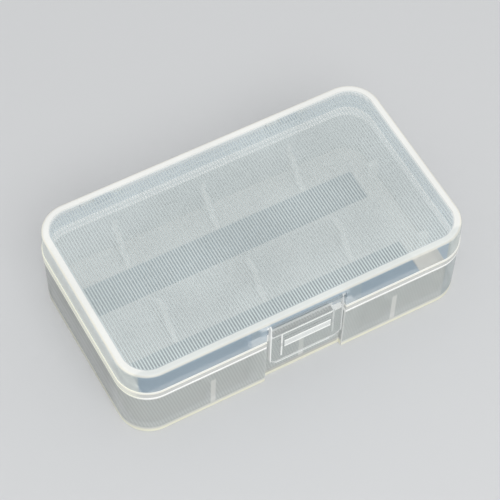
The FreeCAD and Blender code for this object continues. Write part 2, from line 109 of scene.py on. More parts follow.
@dataclass
class Graph:
    """A short way to add and join the nodes of one tree."""

    tree: NodeTree
    band: NodeTree | None = None

    def node(self, kind: str, inputs: dict[str | int, Input] | None = None, **settings: object) -> Node:
        """Add a node.

        Args:
            kind: The node's type name.
            inputs: What goes into its inputs, by their names or numbers.
            settings: Properties to set on it.

        Returns:
            The new node.
        """
        made = self.tree.nodes.new(kind)
        for name, value in settings.items():
            setattr(made, name, value)
        for key, value in (inputs or {}).items():
            self.feed(made.inputs[key], value)
        return made

    def feed(self, socket: NodeSocket, value: Input) -> None:
        """Join another socket to this one, or set its value.

        Args:
            socket: The input to fill.
            value: An output socket, or a plain value.
        """
        if isinstance(value, NodeSocket):
            self.tree.links.new(value, socket)
        else:
            socket.default_value = value

    def math(self, operation: str, *values: Input, clamp: bool = False) -> NodeSocket:
        """Add a Math node, whose result may be kept between 0 and 1."""
        inputs = dict(enumerate(values))
        return self.node("ShaderNodeMath", inputs, operation=operation, use_clamp=clamp).outputs[0]

    def times(self, first: Input, *others: Input) -> Input:
        """Multiply numbers.

        Args:
            first: A number or socket.
            others: What it is multiplied by.

        Returns:
            The product's socket.
        """
        for value in others:
            first = self.math("MULTIPLY", first, value)
        return first

    def ramp(self, value: Input, start: float, end: float, low: float, high: float) -> NodeSocket:
        """Map a value smoothly: low up to start, and high from end onwards."""
        inputs = dict(enumerate((value, start, end, low, high)))
        return self.node("ShaderNodeMapRange", inputs, interpolation_type="SMOOTHSTEP").outputs[0]

    def blend(self, factor: Input, first: Input, second: Input) -> NodeSocket:
        """Mix two colours.

        Args:
            factor: 0 for the first and 1 for the second.
            first: A colour or socket.
            second: A colour or socket.

        Returns:
            The mixed colour's socket.
        """
        made = self.node("ShaderNodeMix", {0: factor}, data_type="RGBA")
        for index, value in ((6, first), (7, second)):
            self.feed(made.inputs[index], (*value, 1.0) if isinstance(value, tuple) else value)
        return made.outputs[2]

    def between(self, factor: Input, first: Input, second: Input) -> NodeSocket:
        """Mix two numbers: the first where the factor is 0, the second where it is 1."""
        return self.node("ShaderNodeMix", {0: factor, 2: first, 3: second}, data_type="FLOAT").outputs[0]

    def tone(self, colour: NodeSocket, value: Input) -> NodeSocket:
        """Multiply a colour's brightness by a value."""
        return self.node("ShaderNodeHueSaturation", {"Color": colour, "Value": value}).outputs["Color"]

    def place(self, group: NodeTree, **values: Input) -> Node:
        """Place a node group and fill its inputs, whose names have _ for a space."""
        inputs = {name.replace("_", " "): value for name, value in values.items()}
        return self.node("ShaderNodeGroup", inputs, node_tree=group)

    def mask(self, value: Input, band: tuple[Input, float, float]) -> NodeSocket:
        """Mark where a value lies in a band, given by its start, its end and the width of its soft edges."""
        low, high, soft = band
        return self.place(self.band, Value=value, Low=low, High=high, Softness=soft).outputs["Mask"]

    def position(self) -> Spot:
        """Find where a point is in its object's own coordinates: the sockets of its X, Y and Z."""
        place = self.node("ShaderNodeTexCoord").outputs["Object"]
        return tuple(self.node("ShaderNodeSeparateXYZ", {0: place}).outputs)


def new_group(
    kind: str, name: str, inputs: dict[str, float | None], outputs: tuple[str, ...],
) -> tuple[Graph, Node, Node]:
    """Start a tree of nodes with named inputs and outputs.

    Args:
        kind: Shader or Geometry.
        name: The tree's name.
        inputs: Its inputs with their usual values, if they have one.
        outputs: Its outputs.

    Returns:
        The tree's graph, its input node and its output node.
    """
    tree = bpy.data.node_groups.new(name, f"{kind}NodeTree")
    for side, labels in (("INPUT", inputs), ("OUTPUT", outputs)):
        for label in labels:
            socket_type = SOCKET_KINDS.get(label, "NodeSocketFloat")
            made = tree.interface.new_socket(label, in_out=side, socket_type=socket_type)
            if side == "INPUT" and inputs[label] is not None:
                made.default_value = inputs[label]
    graph = Graph(tree)
    return graph, graph.node("NodeGroupInput"), graph.node("NodeGroupOutput")


def make_place_group() -> NodeTree:
    """Group that says where a point is on a round-cornered box.

    Returns:
        The group: the depth inwards from its outline, and the point's X and Y away from the middle.
    """
    sizes = {"Half Length": 0.039, "Half Width": 0.0227, "Corner Radius": 0.007}
    graph, given, result = new_group("Shader", "place_on_box", sizes, ("Depth", "Along", "Across"))
    length, width, radius = given.outputs[0], given.outputs[1], given.outputs[2]
    x, y, _ = graph.position()
    along, across = graph.math("ABSOLUTE", x), graph.math("ABSOLUTE", y)
    over_x = graph.math("ADD", graph.math("SUBTRACT", along, length), radius)
    over_y = graph.math("ADD", graph.math("SUBTRACT", across, width), radius)
    past_x, past_y = graph.math("MAXIMUM", over_x, 0.0), graph.math("MAXIMUM", over_y, 0.0)
    corner = graph.math("SQRT", graph.math("ADD", graph.times(past_x, past_x), graph.times(past_y, past_y)))
    flat = graph.math("MINIMUM", graph.math("MAXIMUM", over_x, over_y), 0.0)
    depth = graph.math("SUBTRACT", radius, graph.math("ADD", corner, flat))
    for socket, value in zip(result.inputs, (depth, along, across)):
        graph.feed(socket, value)
    return graph.tree


def make_band_group() -> NodeTree:
    """Group that marks a band of values with soft edges.

    Returns:
        The group: 1 from Low to High, falling to 0 over Softness outside them.
    """
    sizes = {"Value": 0.0, "Low": 0.0, "High": 1.0, "Softness": 0.1}
    graph, given, result = new_group("Shader", "soft_band", sizes, ("Mask",))
    value, low, high, soft = (given.outputs[label] for label in sizes)
    above = graph.math("DIVIDE", graph.math("SUBTRACT", value, low), soft)
    below = graph.math("DIVIDE", graph.math("SUBTRACT", high, value), soft)
    rise = graph.math("ADD", above, 1.0, clamp=True)
    fall = graph.math("ADD", below, 1.0, clamp=True)
    graph.feed(result.inputs["Mask"], graph.times(rise, fall))
    return graph.tree


def make_grain_group() -> NodeTree:
    """Group for the cloudy flow and fine grain of moulded plastic.

    Returns:
        The group: Cloud and Grain, both about 0.5 on average.
    """
    scales = {"Cloud Scale": 60.0, "Grain Scale": 220.0}
    graph, given, result = new_group("Shader", "moulded_grain", scales, ("Cloud", "Grain"))
    place = graph.node("ShaderNodeTexCoord").outputs["Object"]
    for label, detail in (("Cloud", 2.0), ("Grain", 1.0)):
        scale = given.outputs[f"{label} Scale"]
        noise = graph.node("ShaderNodeTexNoise", {"Vector": place, "Scale": scale, "Detail": detail})
        graph.feed(result.inputs[label], noise.outputs["Fac"])
    return graph.tree


@dataclass
class Workshop:
    """The shader groups that the finishes share, and how every plastic is clouded."""

    place: NodeTree = field(default_factory=make_place_group)
    band: NodeTree = field(default_factory=make_band_group)
    grain: NodeTree = field(default_factory=make_grain_group)
    cloud: Fade = (0.3, 0.7)
    cloud_tone: Fade = (0.97, 1.03)
    uneven: Fade = (0.2, 0.8)
    gloss_change: float = 0.15
    bump_strength: float = 0.3

    def start(self, name: str) -> tuple[Material, Graph, Node]:
        """Start a material.

        Args:
            name: The material's name.

        Returns:
            The material, its graph and its Principled shader.
        """
        material = bpy.data.materials.new(name)
        material.use_nodes = True
        material.node_tree.nodes.clear()
        graph = Graph(material.node_tree, self.band)
        shader = graph.node("ShaderNodeBsdfPrincipled")
        graph.node("ShaderNodeOutputMaterial", {"Surface": shader.outputs["BSDF"]})
        return material, graph, shader

    @staticmethod
    def cover(graph: Graph, shader: Node, share: Input) -> None:
        """Veil what lies behind a clear wall once, on its outward face, and let more of the light in.

        Args:
            graph: The material's graph.
            shader: The Principled shader.
            share: How much the wall hides.
        """
        leaving = graph.node("ShaderNodeNewGeometry").outputs["Backfacing"]
        seen = graph.node("ShaderNodeLightPath").outputs["Is Camera Ray"]
        veil = graph.times(share, graph.between(seen, LIGHT_SHARE, 1.0))
        graph.feed(shader.inputs["Alpha"], graph.between(leaving, veil, 0.0))

    def grained(self, graph: Graph, colour: NodeSocket, shader: Node, depth: float, rough: float) -> None:
        """Finish a plastic: cloudy colour, uneven gloss and a fine grain.

        Args:
            graph: The material's graph.
            colour: The colour before the clouding.
            shader: The Principled shader.
            depth: The grain's depth in metres.
            rough: The mean roughness.
        """
        grain = graph.place(self.grain)
        cloud = grain.outputs["Cloud"]
        clouded = graph.tone(colour, graph.ramp(cloud, *self.cloud, *self.cloud_tone))
        graph.feed(shader.inputs["Base Color"], clouded)
        change = rough * self.gloss_change
        graph.feed(shader.inputs["Roughness"], graph.ramp(cloud, *self.uneven, rough - change, rough + change))
        bump = graph.node("ShaderNodeBump", {
            "Strength": self.bump_strength,
            "Distance": depth,
            "Height": grain.outputs["Grain"],
        })
        graph.feed(shader.inputs["Normal"], bump.outputs["Normal"])
        graph.feed(shader.inputs["IOR"], PLASTIC_IOR)


@dataclass(frozen=True)
class TrayFinish:
    """Milky plastic of the tray: pale floor, greyer thin walls and troughs, cream foot; ribs painted paler
    against their shade, painted highlights on the wall's top edge and the tongue's tip, painted shade on the
    left end and behind the latch.
    """

    wall: Colour = (0.45, 0.48, 0.468)
    thick_wall: Colour = (0.47, 0.50, 0.485)
    right_wall: Colour = (0.35, 0.405, 0.415)
    rib_mark: Colour = (0.70, 0.71, 0.68)
    floor: Colour = (0.59, 0.595, 0.57)
    # painted light: the ribs' sides are painted paler than the floor so that their own shade shows less
    rib: Colour = (0.64, 0.65, 0.625)
    trough: Colour = (0.215, 0.265, 0.285)
    front_trough: Colour = (0.17, 0.215, 0.235)
    foot: Colour = (0.86, 0.85, 0.70)
    # painted highlight, on the wall's top edge and on the tongue's tip
    edge: Colour = (0.97, 0.97, 0.94)
    shade: Colour = (0.38, 0.39, 0.38)
    tongue: Colour = (0.62, 0.70, 0.74)
    wall_cover: float = 0.66
    thick_cover: float = 0.80
    tongue_cover: float = 0.12
    tip_cover: float = 0.92
    # painted shade on the left end's walls and foot
    left_shade: float = 0.71
    line_pitch: float = 0.617 * MM
    line_slope: float = 0.267
    line_depth: float = 0.11
    line_fade: Fade = fade(-12, 16)
    line_right: float = 0.3
    roughness: float = 0.38
    grain_depth: float = 0.02 * MM
    soak_share: float = 0.4
    soak_reach: float = 1.5 * MM
    # heights
    sunk: Band = span(0.5, 1.86)
    upright: Band = span(2.1, 13.4, 0.1)
    foot_height: Band = span(-1, 1.1, 0.7)
    low_wall: Band = span(-1, 3.4, 1.2)
    rib_height: Band = span(0, 10.4, 0.8)
    top_highlight: Band = span(13.7, 14.5, 0.4)
    tongue_height: Band = span(14.6, 20)
    tip_height: Band = span(15.1, 20, 0.3)
    strip_height: Band = span(1.1, 2.1, 0.2)
    lip_height: Band = span(14.2, 15)
    # depths inwards from the outline
    skin: Band = span(-1, 1.3)
    wall_depth: Band = span(-1, 2.2, 0.15)
    recess_depth: Band = span(-1, 2.9)
    tongue_depth: Band = span(0.7, 3)
    rib_depth: Band = span(3, 40, 0.3)
    # distances from the middle
    trough_length: Band = span(-1, 32.62)
    trough_width: Band = span(-1, 14.6)
    recess_width: Band = span(-1, 9.8)
    near_latch: Band = span(-1, 11, 2.5)
    long_walls: Band = span(14, 30, 3)
    rib_middle: Band = span(-1, 0.45, 0.2)
    rib_sides: Band = span(20.55, 21.45, 0.2)
    # places along X or Y
    trough_fade: Fade = fade(-10, 5)
    tip_back: Band = span(-12, 30, 3)
    right_end: Band = span(33.2, 50, 0.5)
    right_front: Band = span(-50, -12, 4)
    left_end: Band = span(-50, -38.3, 0.5)
    left_back: Band = span(-11, 50, 4)
    strip_face: Band = span(-21.25, -21.05, 0.03)
    strip_length: Band = span(-8.6, 8.6)
    strip_share: float = 0.6
    lip_width: Band = span(-21.45, -20)
    lip_length: Band = span(-6.9, 6.9)

    def make(self, shop: Workshop) -> Material:
        """Build the material.

        Args:
            shop: The shared groups.

        Returns:
            The material.
        """
        material, graph, shader = shop.start("milky_tray_plastic")
        depth, along, across = graph.place(shop.place).outputs
        spot = x, y, z = graph.position()
        upright = graph.mask(z, self.upright)
        wall = graph.times(upright, graph.mask(depth, self.wall_depth))
        low = graph.times(graph.mask(z, self.low_wall), graph.mask(across, self.long_walls))
        thick = graph.math("MAXIMUM", low, graph.mask(along, self.near_latch))
        recess = graph.times(graph.mask(depth, self.recess_depth), graph.mask(along, self.recess_width))
        skin = graph.math("MAXIMUM", graph.mask(depth, self.skin), recess)
        foot = graph.times(skin, graph.mask(z, self.foot_height))
        tongue = graph.times(graph.mask(z, self.tongue_height), graph.mask(depth, self.tongue_depth))
        tip = graph.times(tongue, graph.mask(z, self.tip_height), graph.mask(y, self.tip_back))

        colour = self.floor_colour(graph, along, across, spot)
        # painted light on the ribs' sides
        colour = graph.blend(graph.times(upright, graph.mask(depth, self.rib_depth)), colour, self.rib)
        thin_wall, thick_wall = (self.lined(graph, plain, spot) for plain in (self.wall, self.thick_wall))
        colour = graph.blend(wall, colour, graph.blend(thick, thin_wall, thick_wall))
        colour = graph.blend(graph.times(wall, self.rib_marks(graph, along, z)), colour, self.rib_mark)
        colour = graph.blend(foot, colour, self.foot)
        right = graph.times(graph.mask(x, self.right_end), graph.mask(y, self.right_front), wall)
        colour = graph.blend(right, colour, self.right_wall)
        # painted shade: the left end is darkened
        left = graph.times(graph.mask(x, self.left_end), graph.mask(y, self.left_back))
        left = graph.times(left, graph.math("MAXIMUM", wall, foot))
        colour = graph.tone(colour, graph.between(left, 1.0, self.left_shade))
        # painted highlight along the wall's top edge
        colour = graph.blend(graph.mask(z, self.top_highlight), colour, self.edge)
        colour = graph.blend(tongue, colour, self.tongue)
        # painted highlight on the tongue's tip
        colour = graph.blend(tip, colour, self.edge)
        colour = graph.blend(self.recess_shade(graph, spot), colour, self.shade)

        shop.grained(graph, colour, shader, self.grain_depth, self.roughness)
        share = graph.between(wall, 1.0, graph.between(thick, self.wall_cover, self.thick_cover))
        share = graph.between(tongue, share, self.tongue_cover)
        shop.cover(graph, shader, graph.between(tip, share, self.tip_cover))
        shader.inputs["Subsurface Weight"].default_value = self.soak_share
        shader.inputs["Subsurface Radius"].default_value = (1.0, 1.0, 1.0)
        shader.inputs["Subsurface Scale"].default_value = self.soak_reach
        return material

    def floor_colour(self, graph: Graph, along: Input, across: Input, spot: Spot) -> NodeSocket:
        """Colour the floor, darker where the cell troughs make it thin.

        Args:
            graph: The material's graph.
            along: The distance in X from the middle.
            across: The distance in Y from the middle.
            spot: Where the point is.

        Returns:
            The colour's socket.
        """
        _, y, z = spot
        inside = graph.times(graph.mask(along, self.trough_length), graph.mask(across, self.trough_width))
        front = graph.ramp(y, *self.trough_fade, 1.0, 0.0)
        trough = graph.blend(front, self.trough, self.front_trough)
        return graph.blend(graph.times(inside, graph.mask(z, self.sunk)), self.floor, trough)

    def lined(self, graph: Graph, colour: Colour, spot: Spot) -> NodeSocket:
        """Shade a wall colour where the floor's fine lines show through, more to the left.

        Args:
            graph: The material's graph.
            colour: The wall's colour.
            spot: Where the point is.

        Returns:
            The shaded colour's socket.
        """
        x, _, z = spot
        slanted = graph.math("ADD", x, graph.times(z, self.line_slope))
        wave = graph.math("SINE", graph.times(slanted, math.tau / self.line_pitch))
        strength = graph.ramp(x, *self.line_fade, 1.0, self.line_right)
        share = graph.math("ADD", graph.times(wave, 0.5, strength), 0.5)
        return graph.blend(share, scaled(colour, 1 - self.line_depth), scaled(colour, 1 + self.line_depth))

    def rib_marks(self, graph: Graph, along: Input, z: Input) -> NodeSocket:
        """Mark where a cross rib joins the wall and makes it thicker.

        Args:
            graph: The material's graph.
            along: The distance in X from the middle.
            z: The height.

        Returns:
            The mask's socket.
        """
        ribs = graph.math("MAXIMUM", graph.mask(along, self.rib_middle), graph.mask(along, self.rib_sides))
        return graph.times(ribs, graph.mask(z, self.rib_height))

    def recess_shade(self, graph: Graph, spot: Spot) -> NodeSocket:
        """Mark the painted shade behind the latch: on the catch lip's top and in a strip at the wall's foot
        beneath the latch.

        Args:
            graph: The material's graph.
            spot: Where the point is.

        Returns:
            The mask's socket.
        """
        x, y, z = spot
        strip = graph.times(graph.mask(y, self.strip_face), graph.mask(z, self.strip_height))
        strip = graph.times(strip, self.strip_share, graph.mask(x, self.strip_length))
        top = graph.times(graph.mask(y, self.lip_width), graph.mask(z, self.lip_height))
        return graph.math("MAXIMUM", strip, graph.times(top, graph.mask(x, self.lip_length)))


@dataclass(frozen=True)
class LidFinish:
    """Frosted plastic of the lid: pale thick rim with a painted highlight, dimmer towards the front, clearer
    panel and walls, and painted highlights on the seam edges.
    """

    panel: Colour = (0.83, 0.92, 0.94)
    wall: Colour = (0.37, 0.47, 0.56)
    wall_end: Colour = (0.48, 0.54, 0.52)
    wall_left: Colour = (0.62, 0.68, 0.67)
    patch: Colour = (0.635, 0.64, 0.605)
    # the rim and its cream shoulder are partly the thick wall's own paleness and partly painted highlight; the
    # front colours dim that highlight towards the front
    rim: Colour = (0.89, 0.90, 0.87)
    rim_front: Colour = (0.77, 0.80, 0.78)
    shoulder: Colour = (0.90, 0.88, 0.78)
    shoulder_front: Colour = (0.68, 0.68, 0.62)
    skirt: Colour = (0.56, 0.57, 0.545)
    # painted highlight: the skirt turns paler at the left end, where the seam shines
    skirt_left: Colour = (0.86, 0.87, 0.75)
    panel_cover: float = 0.30
    wall_cover: float = 0.62
    skirt_cover: float = 0.75
    rim_cover: float = 0.92
    roughness: float = 0.32
    grain_depth: float = 0.015 * MM
    # heights
    top: Band = span(20.7, 30, 0.1)
    crown: Band = span(21.42, 30, 0.25)
    crown_shoulder: float = 21.78 * MM
    skirt_height: Band = span(14, 16.15)
    seam_height: Band = span(15.75, 16.2, 0.1)
    # depths inwards from the outline
    skin: Band = span(-2, 0.7)
    border: Band = span(-2, 1.58, 0.45)
    shoulder_depth: Band = span(-2, 0.3, 0.3)
    # places along X or Y
    middle: Band = span(-36.5, 32.7, 0.3)
    beside_latch: Band = span(8.5, 12.3, 0.3)
    beside_share: float = 0.25
    end_fade: Fade = fade(-34, 32)
    skirt_fade: Fade = fade(-38.6, -36)
    rim_near: Band = span(-30, -20.5, 0.6)
    patch_face: Band = span(-30, -22, 0.2)
    patch_width: Band = span(25.65, 31.2, 0.25)
    patch_level: float = 18.3 * MM
    patch_slope: float = 0.4

    def make(self, shop: Workshop) -> Material:
        """Build the material.

        Args:
            shop: The shared groups.

        Returns:
            The material.
        """
        material, graph, shader = shop.start("frosted_lid_plastic")
        depth, along, _ = graph.place(shop.place).outputs
        spot = x, y, z = graph.position()
        top = graph.mask(z, self.top)
        border = graph.mask(depth, self.border)
        shoulder = graph.mask(depth, self.shoulder_depth)
        low, high, soft = self.crown
        crown = graph.mask(z, (graph.between(shoulder, low, self.crown_shoulder), high, soft))
        panel = graph.math("SUBTRACT", top, graph.times(top, border))
        skirt = graph.times(border, graph.mask(z, self.skirt_height))
        # painted highlight along the seam's upper edge
        line = graph.times(border, graph.mask(z, self.seam_height))
        bright = graph.math("MAXIMUM", graph.times(crown, border), line)

        colour = self.wall_colour(graph, depth, along, x)
        colour = graph.blend(self.pale_patch(graph, spot), colour, self.patch)
        colour = graph.blend(panel, colour, self.panel)
        left = graph.ramp(x, *self.skirt_fade, 1.0, 0.0)
        colour = graph.blend(skirt, colour, graph.blend(left, self.skirt, self.skirt_left))
        # painted shade: the rim's highlight is dimmed towards the front
        near = graph.times(graph.mask(y, self.rim_near), crown)
        rim_colour = graph.blend(near, self.rim, self.rim_front)
        shoulder_colour = graph.blend(near, self.shoulder, self.shoulder_front)
        colour = graph.blend(bright, colour, graph.blend(shoulder, rim_colour, shoulder_colour))

        shop.grained(graph, colour, shader, self.grain_depth, self.roughness)
        share = graph.between(panel, self.wall_cover, self.panel_cover)
        share = graph.between(skirt, share, self.skirt_cover)
        shop.cover(graph, shader, graph.between(bright, share, self.rim_cover))
        return material

    def wall_colour(self, graph: Graph, depth: Input, along: Input, x: Input) -> NodeSocket:
        """Colour the walls: bluer in the middle, paler at the ends and a little beside the latch.

        Args:
            graph: The material's graph.
            depth: The depth inwards from the outline.
            along: The distance in X from the middle.
            x: The place along X.

        Returns:
            The colour's socket.
        """
        beside = graph.times(graph.mask(along, self.beside_latch), self.beside_share)
        ends = graph.math("MAXIMUM", graph.math("SUBTRACT", 1.0, graph.mask(x, self.middle)), beside)
        end_colour = graph.blend(graph.ramp(x, *self.end_fade, 1.0, 0.0), self.wall_end, self.wall_left)
        return graph.blend(graph.times(ends, graph.mask(depth, self.skin)), self.wall, end_colour)

    def pale_patch(self, graph: Graph, spot: Spot) -> NodeSocket:
        """Mark where the pale end of the tray's floor shows through the lid's front wall.

        Args:
            graph: The material's graph.
            spot: Where the point is.

        Returns:
            The mask's socket.
        """
        x, y, z = spot
        lean = graph.times(graph.math("SUBTRACT", z, self.patch_level), self.patch_slope)
        slanted = graph.math("ADD", x, lean)
        return graph.times(graph.mask(y, self.patch_face), graph.mask(slanted, self.patch_width))


@dataclass(frozen=True)
class RidgeFinish:
    """The same plastic where a fine moulded line or an edge makes it thicker; on the edge beads its pale colour
    is a painted highlight, and the lid's lines are painted paler towards the front.
    """

    name: str
    colour: Colour
    cover: float
    roughness: float = 0.35
    # painted light: how much paler the lines are towards the front, where they catch the light
    front: float = 1.0
    left: Colour | None = None
    fading: float = 0.0
    pale_share: float = 1.06
    grain_depth: float = 0.005 * MM
    front_fade: Fade = fade(-19, -10)
    left_fade: Fade = fade(-38, -35)
    right_fade: Fade = fade(5, 7.5)

    def make(self, shop: Workshop) -> Material:
        """Build the material.

        Args:
            shop: The shared groups.

        Returns:
            The material.
        """
        material, graph, shader = shop.start(self.name)
        x, y, _ = graph.position()
        cloud = graph.place(shop.grain).outputs["Cloud"]
        clouds = graph.ramp(cloud, *shop.cloud, 0.0, 1.0)
        colour = graph.blend(clouds, self.colour, scaled(self.colour, self.pale_share))
        # painted light towards the front
        near = graph.ramp(y, *self.front_fade, 1.0, 0.0)
        colour = graph.blend(near, colour, scaled(self.colour, self.front))
        # painted highlight turning cream at the left end
        if self.left:
            colour = graph.blend(graph.ramp(x, *self.left_fade, 1.0, 0.0), colour, self.left)
        shop.grained(graph, colour, shader, self.grain_depth, self.roughness)
        share = graph.ramp(cloud, *shop.uneven, self.cover * 0.95, self.cover * 1.05)
        # painted highlight weaker on the right
        if self.fading:
            share = graph.times(share, graph.ramp(x, *self.right_fade, 1.0, 1.0 - self.fading))
        shop.cover(graph, shader, share)
        return material


@dataclass(frozen=True)
class LatchFinish:
    """Clear glossy plastic of the latch, with a painted highlight where an edge gathers the light, dimmer on
    the frame's top and on the right.
    """

    body: Colour = (0.475, 0.515, 0.51)
    # painted highlight on the outline, the frame and the hinge bar
    edge: Colour = (0.96, 0.97, 0.95)
    body_cover: float = 0.32
    edge_cover: float = 0.85
    roughness: float = 0.12
    grain_depth: float = 0.004 * MM
    sides: Band = span(8.1, 12, 0.08)
    foot: Band = span(5, 6.95, 0.08)
    frame_face: Band = span(-24, -23.24, 0.02)
    frame_top: Band = span(12.85, 14.05, 0.03)
    frame_top_loss: float = 0.25
    hinge_bar: Band = span(19.5, 20.1, 0.2)
    bar_share: float = 0.6
    right: Band = span(5.6, 12, 0.1)
    right_share: float = 0.5

    def make(self, shop: Workshop) -> Material:
        """Build the material.

        Args:
            shop: The shared groups.

        Returns:
            The material.
        """
        material, graph, shader = shop.start("clear_latch_plastic")
        x, y, z = graph.position()
        sides = graph.mask(graph.math("ABSOLUTE", x), self.sides)
        loss = graph.times(graph.mask(z, self.frame_top), self.frame_top_loss)
        frame = graph.times(graph.mask(y, self.frame_face), graph.math("SUBTRACT", 1.0, loss))
        bar = graph.times(graph.mask(z, self.hinge_bar), self.bar_share)
        outline = graph.math("MAXIMUM", sides, graph.mask(z, self.foot))
        edges = graph.math("MAXIMUM", outline, graph.math("MAXIMUM", frame, bar))
        # painted highlight dimmed on the right
        edges = graph.times(edges, graph.between(graph.mask(x, self.right), 1.0, self.right_share))
        colour = graph.blend(edges, self.body, self.edge)
        shop.grained(graph, colour, shader, self.grain_depth, self.roughness)
        shop.cover(graph, shader, graph.between(edges, self.body_cover, self.edge_cover))
        return material


@dataclass(frozen=True)
class PinFinish:
    """Drawn steel wire of the hinge pins."""

    steel: Colour = (0.58, 0.58, 0.60)
    worn: Colour = (0.40, 0.40, 0.42)
    streaks: tuple[float, float, float] = (300.0, 6000.0, 6000.0)
    gloss: Fade = (0.28, 0.42)

    def make(self, shop: Workshop) -> Material:
        """Build the material.

        Args:
            shop: The shared groups.

        Returns:
            The material.
        """
        material, graph, shader = shop.start("drawn_pin_steel")
        place = graph.node("ShaderNodeTexCoord").outputs["Object"]
        stretch = graph.node("ShaderNodeMapping", {"Vector": place, "Scale": self.streaks})
        noise = graph.node("ShaderNodeTexNoise", {"Vector": stretch.outputs["Vector"], "Scale": 1.0})
        graph.feed(shader.inputs["Base Color"], graph.blend(noise.outputs["Fac"], self.worn, self.steel))
        gloss = graph.ramp(noise.outputs["Fac"], *shop.cloud, *self.gloss)
        graph.feed(shader.inputs["Roughness"], gloss)
        shader.inputs["Metallic"].default_value = 1.0
        return material


def finished(graph: Graph, shape: NodeSocket, finish: NodeSocket) -> NodeSocket:
    """Make a tree's shape real and give it its finish."""
    real = graph.node("GeometryNodeRealizeInstances", {0: shape}).outputs[0]
    return graph.node("GeometryNodeSetMaterial", {"Geometry": real, "Material": finish}).outputs[0]


def carry_round(graph: Graph, curve: NodeSocket, sides: int, radius: Input) -> NodeSocket:
    """Carry a round section along a curve and close its ends.

    Args:
        graph: The tree's graph.
        curve: The curve.
        sides: How many sides the section has.
        radius: The section's radius.

    Returns:
        The socket of the bar's mesh.
    """
    ring = graph.node("GeometryNodeCurvePrimitiveCircle", {"Resolution": sides, "Radius": radius}).outputs[0]
    inputs = {"Curve": curve, "Profile Curve": ring, "Fill Caps": True}
    return graph.node("GeometryNodeCurveToMesh", inputs).outputs[0]


def put_in_scene(name: str, data: bpy.types.ID) -> Object:
    """Make an object and put it in the scene.

    Args:
        name: The object's name.
        data: Its mesh, camera or lamp.

    Returns:
        The object.
    """
    made = bpy.data.objects.new(name, data)
    bpy.context.scene.collection.objects.link(made)
    return made


@dataclass(frozen=True)
class RidgeField:
    """Fine parallel lines moulded on a flat panel, each running front to back."""

    name: str
    body: Body
    slot: Slot
    level: float
    half_length: float
    half_width: float
    corner_radius: float = 0.0
    centre_y: float = 0.0
    pitch: float = 0.617 * MM
    width: float = 0.30 * MM
    height: float = 0.04 * MM

    @staticmethod
    def make_tree() -> NodeTree:
        """Build the geometry nodes that lay out the lines.

        Returns:
            The tree, with a named input for each size.
        """
        inputs = dict.fromkeys((*RIDGE_SIZES, "Finish"))
        graph, start, result = new_group("Geometry", "ridge_field", inputs, ("Geometry",))
        given = start.outputs
        half = graph.math("FLOOR", graph.math("DIVIDE", given["Half Length"], given["Pitch"]))
        first = (graph.times(half, -1.0, given["Pitch"]), given["Centre Y"], given["Level"])
        row = graph.node("GeometryNodeMeshLine", {
            "Count": graph.math("ADD", graph.times(half, 2.0), 1.0),
            "Start Location": RidgeField.joined(graph, *first),
            "Offset": RidgeField.joined(graph, given["Pitch"], 0.0, 0.0),
        }, mode="OFFSET", count_mode="TOTAL")
        ends = {"Start": (0.0, -1.0, 0.0), "End": (0.0, 1.0, 0.0)}
        line = graph.node("GeometryNodeCurvePrimitiveLine", ends).outputs[0]
        half_size = (graph.math("DIVIDE", given["Width"], 2.0), RidgeField.reach(graph, given), given["Height"])
        spread = graph.node("GeometryNodeInstanceOnPoints", {
            "Points": row.outputs[0],
            "Instance": carry_round(graph, line, RIDGE_SIDES, 1.0),
            "Scale": RidgeField.joined(graph, *half_size),
        })
        graph.feed(result.inputs[0], finished(graph, spread.outputs[0], given["Finish"]))
        return graph.tree

    @staticmethod
    def joined(graph: Graph, *parts: Input) -> NodeSocket:
        """Join an X, a Y and a Z into one vector."""
        return graph.node("ShaderNodeCombineXYZ", dict(enumerate(parts))).outputs[0]

    @staticmethod
    def reach(graph: Graph, given: dict[str, NodeSocket]) -> NodeSocket:
        """Find half the length of each line, which is less within the panel's round corners.

        Args:
            graph: The tree's graph.
            given: The tree's inputs.

        Returns:
            The length's socket.
        """
        place = graph.node("GeometryNodeInputPosition").outputs[0]
        x = graph.node("ShaderNodeSeparateXYZ", {0: place}).outputs["X"]
        radius = given["Corner Radius"]
        straight = graph.math("SUBTRACT", given["Half Length"], radius)
        over = graph.math("MAXIMUM", graph.math("SUBTRACT", graph.math("ABSOLUTE", x), straight), 0.0)
        rest = graph.math("SUBTRACT", graph.times(radius, radius), graph.times(over, over))
        bend = graph.math("SQRT", graph.math("MAXIMUM", rest, 0.0))
        return graph.math("ADD", graph.math("SUBTRACT", given["Half Width"], radius), bend)

    def build(self, tree: NodeTree, material: Material) -> Object:
        """Lay out the lines and turn them into a plain mesh on their body.

        Args:
            tree: The shared geometry nodes.
            material: The lines' finish.

        Returns:
            The finished piece.
        """
        piece = put_in_scene(self.name, bpy.data.meshes.new(self.name))
        sizes = {label: getattr(self, label.lower().replace(" ", "_")) for label in RIDGE_SIZES}
        apply_tree(piece, tree, {**sizes, "Finish": material})
        return settle(piece, self.body)


